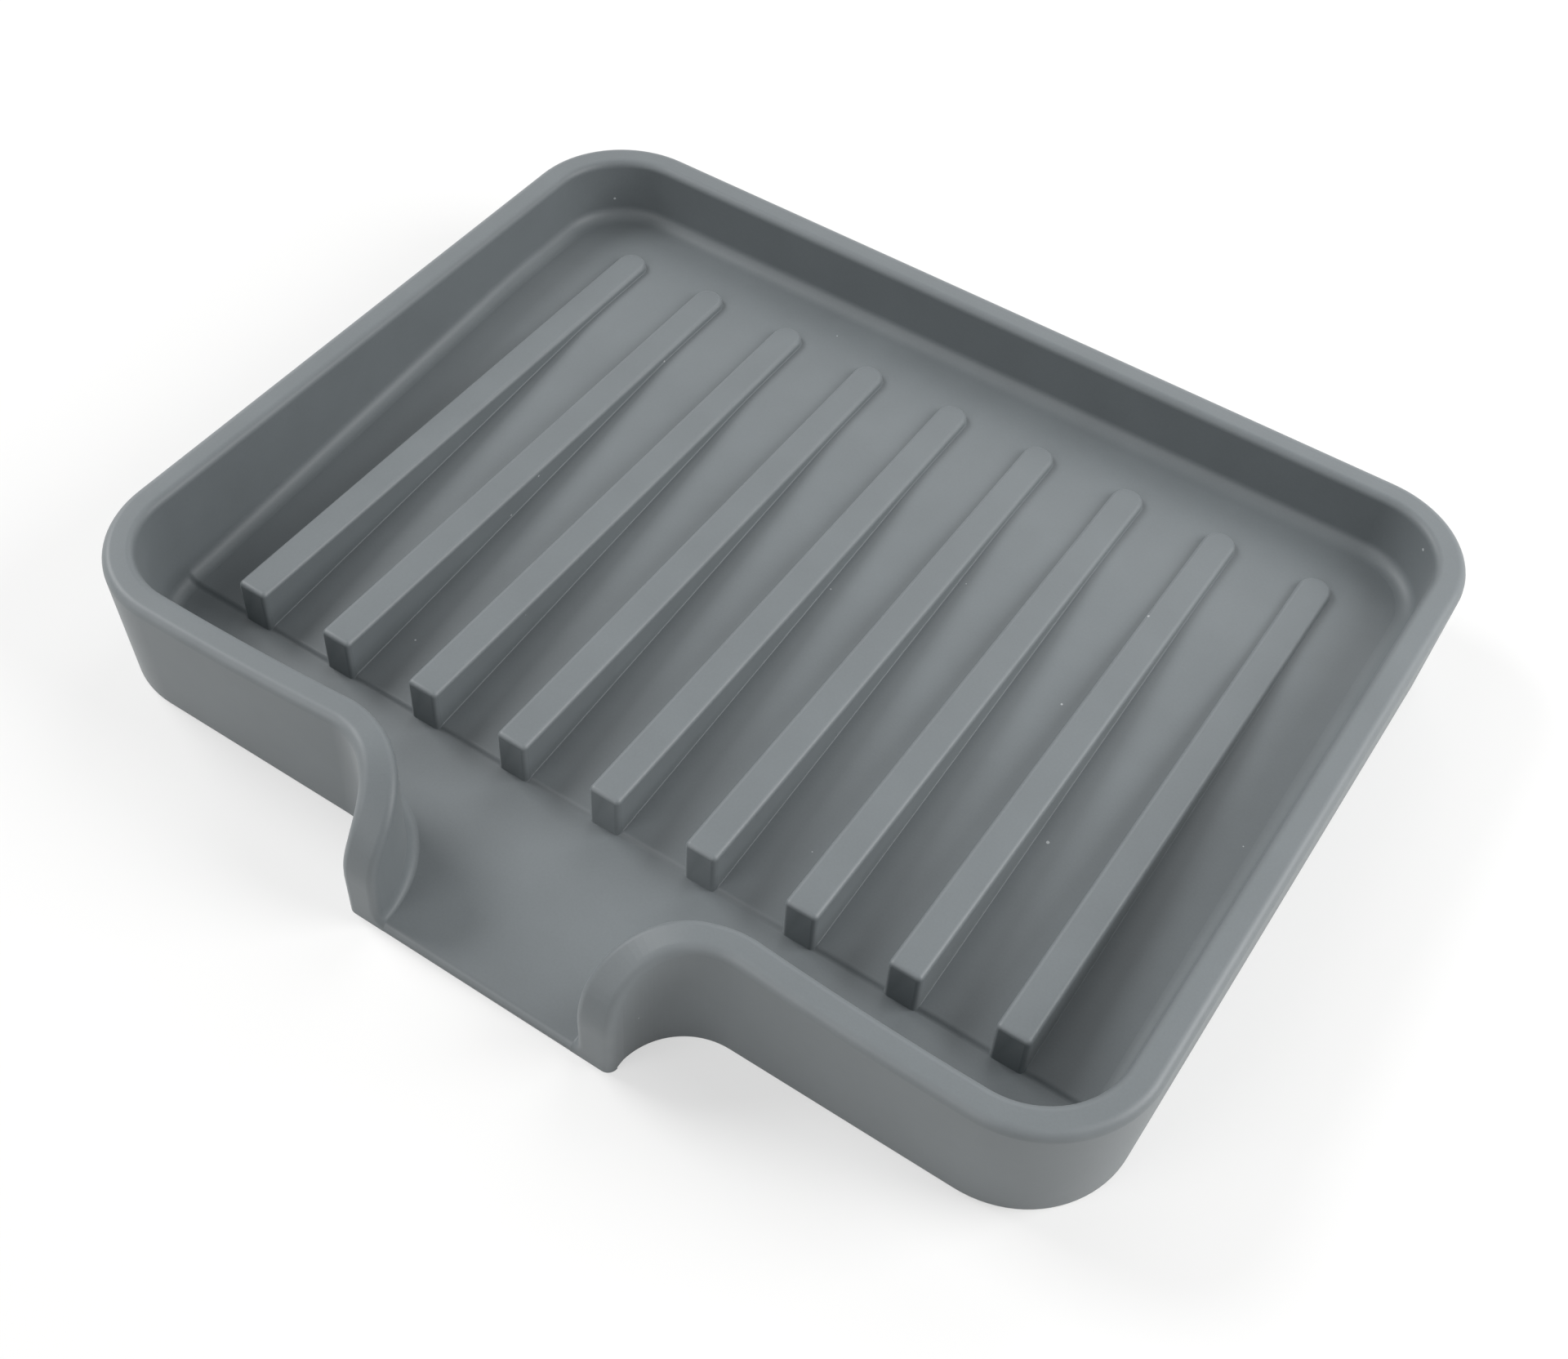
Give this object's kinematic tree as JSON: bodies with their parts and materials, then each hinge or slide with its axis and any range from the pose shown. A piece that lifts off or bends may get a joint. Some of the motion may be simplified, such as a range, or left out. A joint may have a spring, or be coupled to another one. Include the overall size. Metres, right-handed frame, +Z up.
{
  "type": "soap dish",
  "caption": "Shallow rounded-rectangle silicone soap dish with a standing wall, raised drainage ribs over a sloping floor, and a low open pouring spout in the front side.",
  "frame": {"origin": "on the table, under the middle of the whole dish's bounding box, spout included", "axes": "+X along the long side towards the right-hand end, +Y from the spout towards the rear wall, +Z up"},
  "size_m": [0.135, 0.1134, 0.0173],
  "materials": {
    "silicone": "matt moulded silicone, slate grey"
  },
  "bodies": {
    "root": {"rim_wall": "silicone", "drain_floor": "silicone", "spout_floor": "silicone", "rib_1": "silicone", "rib_2": "silicone", "rib_3": "silicone", "rib_4": "silicone", "rib_5": "silicone", "rib_6": "silicone", "rib_7": "silicone", "rib_8": "silicone", "rib_9": "silicone"}
  },
  "joints": []
}
